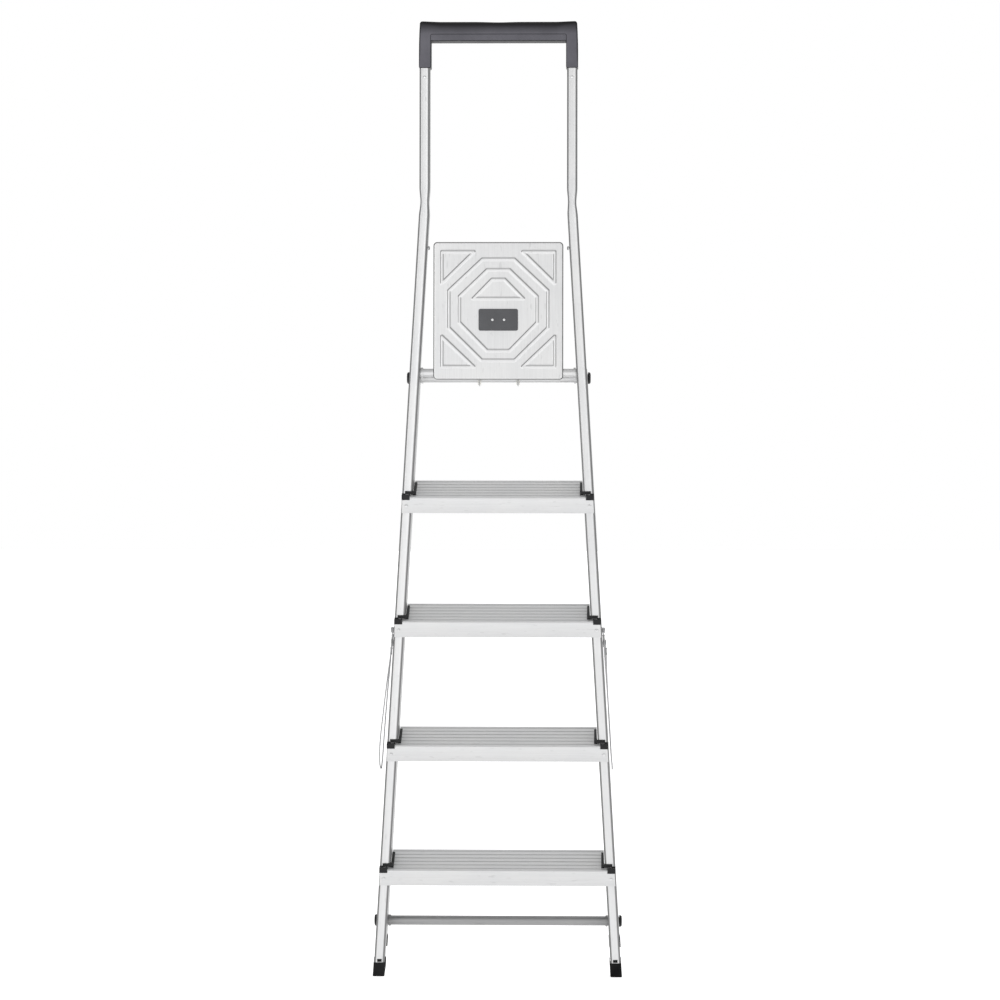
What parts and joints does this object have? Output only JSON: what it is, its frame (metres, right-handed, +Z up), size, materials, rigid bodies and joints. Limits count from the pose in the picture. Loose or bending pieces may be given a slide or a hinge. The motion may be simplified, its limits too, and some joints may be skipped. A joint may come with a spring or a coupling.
{
  "type": "step ladder",
  "caption": "folding aluminium step ladder with flat treads, a swing-up platform, a plastic top handle, a rear frame held by side cords, and rubber feet, folded upright",
  "frame": {"origin": "on the floor line, in the middle of the folded ladder's footprint", "axes": "+X to the right seen from the front, +Y from the front stiles to the rear frame, +Z up the ladder"},
  "size_m": [0.4684, 0.0879, 1.794],
  "materials": {
    "stile_aluminium": "matte anodised, fine drawn lines",
    "tread_aluminium": "matte, ribbed top",
    "platform_aluminium": "satin pressed sheet",
    "tube_aluminium": "satin",
    "black_plastic": "fine moulded grain",
    "handle_plastic": "fine moulded grain",
    "latch_plastic": "fine moulded grain",
    "foot_rubber": "matte",
    "bracket_steel": "zinc plated, dull",
    "rivet_metal": "bright",
    "glide_nylon": "natural nylon",
    "cord_fabric": "braided",
    "ferrule_metal": "crimped"
  },
  "bodies": {
    "front_frame": {"stile_left": "stile_aluminium", "stile_right": "stile_aluminium", "tread_1": "tread_aluminium", "tread_2": "tread_aluminium", "tread_3": "tread_aluminium", "tread_4": "tread_aluminium", "tread_cap_1_left": "black_plastic", "tread_cap_2_left": "black_plastic", "tread_cap_3_left": "black_plastic", "tread_cap_4_left": "black_plastic", "tread_cap_1_right": "black_plastic", "tread_cap_2_right": "black_plastic", "tread_cap_3_right": "black_plastic", "tread_cap_4_right": "black_plastic", "tread_rivets": "rivet_metal", "handle_grip": "handle_plastic", "handle_rivets": "rivet_metal", "front_foot_left": "foot_rubber", "front_foot_right": "foot_rubber", "platform_tube": "tube_aluminium", "rest_stud_left": "rivet_metal", "rest_stud_right": "rivet_metal", "cord_stud_front_left": "rivet_metal", "cord_stud_front_right": "rivet_metal"},
    "platform": {"platform_plate": "platform_aluminium", "latch_plate": "latch_plastic", "latch_rivets": "rivet_metal", "slide_bracket": "bracket_steel", "tube_latch": "black_plastic"},
    "glides": {"glide_bush_left": "glide_nylon", "glide_bush_right": "glide_nylon"},
    "rear_frame": {"rear_leg_left": "stile_aluminium", "rear_leg_right": "stile_aluminium", "rear_top_tube": "tube_aluminium", "rear_cross_tube": "tube_aluminium", "tube_cap_top_left": "black_plastic", "tube_cap_top_right": "black_plastic", "tube_cap_bottom_left": "black_plastic", "tube_cap_bottom_right": "black_plastic", "rear_foot_left": "foot_rubber", "rear_foot_right": "foot_rubber", "cord_stud_rear_left": "rivet_metal", "cord_stud_rear_right": "rivet_metal"},
    "cord_front_half_left": {"cord_front_left": "cord_fabric", "cord_ferrule_front_left": "ferrule_metal"},
    "cord_rear_half_left": {"cord_rear_left": "cord_fabric", "cord_ferrule_rear_left": "ferrule_metal"},
    "cord_front_half_right": {"cord_front_right": "cord_fabric", "cord_ferrule_front_right": "ferrule_metal"},
    "cord_rear_half_right": {"cord_rear_right": "cord_fabric", "cord_ferrule_rear_right": "ferrule_metal"}
  },
  "joints": [
    {"name": "platform_tilt", "type": "hinge", "parent": "front_frame", "child": "platform", "pos_m": [0, -0.0104, 1.134], "axis": [-1, 0, 0], "range_deg": [0, 68.7]},
    {"name": "glide_travel", "type": "slide", "parent": "platform", "child": "glides", "axis": [0, 0, 1], "range_m": [0, 0.112]},
    {"name": "rear_frame_swing", "type": "hinge", "parent": "glides", "child": "rear_frame", "pos_m": [0, 0.0276, 1.1256], "axis": [1, 0, 0], "range_deg": [0, 109.51]},
    {"name": "cord_front_swing_left", "type": "hinge", "parent": "front_frame", "child": "cord_front_half_left", "pos_m": [-0.19804, -0.0104, 0.65], "axis": [1, 0, 0], "range_deg": [0, 75.28]},
    {"name": "cord_bend_left", "type": "hinge", "parent": "cord_front_half_left", "child": "cord_rear_half_left", "pos_m": [-0.221, 0.0086, 0.388], "axis": [-1, 0, 0], "range_deg": [0, 119.86], "deforming": ["cord_rear_left"]},
    {"name": "cord_front_swing_right", "type": "hinge", "parent": "front_frame", "child": "cord_front_half_right", "pos_m": [0.19804, -0.0104, 0.65], "axis": [1, 0, 0], "range_deg": [0, 75.28]},
    {"name": "cord_bend_right", "type": "hinge", "parent": "cord_front_half_right", "child": "cord_rear_half_right", "pos_m": [0.2155, 0.0086, 0.388], "axis": [-1, 0, 0], "range_deg": [0, 119.86], "deforming": ["cord_rear_right"]}
  ],
  "couplings": [
    {"joint": "glide_travel", "follows": "platform_tilt", "m_per_rad": 0.0934},
    {"joint": "rear_frame_swing", "follows": "platform_tilt", "ratio": 1.5939},
    {"joint": "cord_front_swing_left", "follows": "platform_tilt", "ratio": 1.0957},
    {"joint": "cord_bend_left", "follows": "platform_tilt", "ratio": 1.7445},
    {"joint": "cord_front_swing_right", "follows": "platform_tilt", "ratio": 1.0957},
    {"joint": "cord_bend_right", "follows": "platform_tilt", "ratio": 1.7445}
  ]
}
